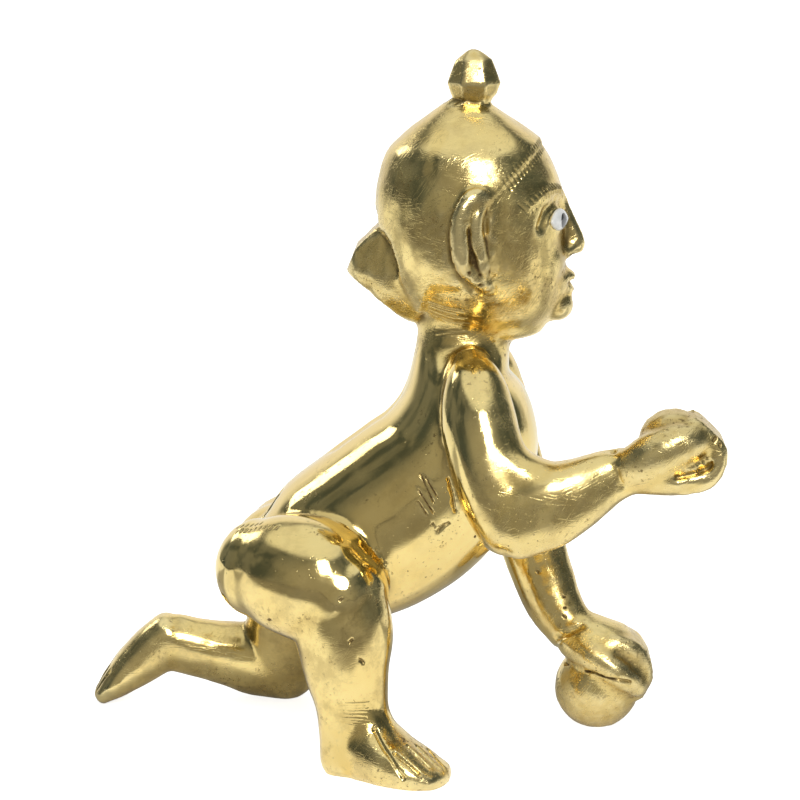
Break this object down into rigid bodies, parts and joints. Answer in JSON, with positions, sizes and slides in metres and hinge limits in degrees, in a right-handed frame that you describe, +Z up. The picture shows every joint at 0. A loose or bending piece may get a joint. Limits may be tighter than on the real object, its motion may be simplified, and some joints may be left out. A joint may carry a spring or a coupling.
{
  "type": "figurine",
  "caption": "Small polished brass figurine of a crawling child, one hand raised and one on the ground, with a topknot, a bun and inlaid enamel eyes.",
  "frame": {"origin": "on the floor, under the middle of the figure's bounding box", "axes": "+X the way the figure faces, +Y its left side, +Z up"},
  "size_m": [0.0926, 0.0502, 0.1],
  "materials": {
    "brass": "polished cast brass with file marks and casting pits",
    "enamel": "glossy white enamel with a dark pupil"
  },
  "bodies": {
    "root": {"cast_body": "brass", "right_eye": "enamel", "left_eye": "enamel"}
  },
  "joints": []
}
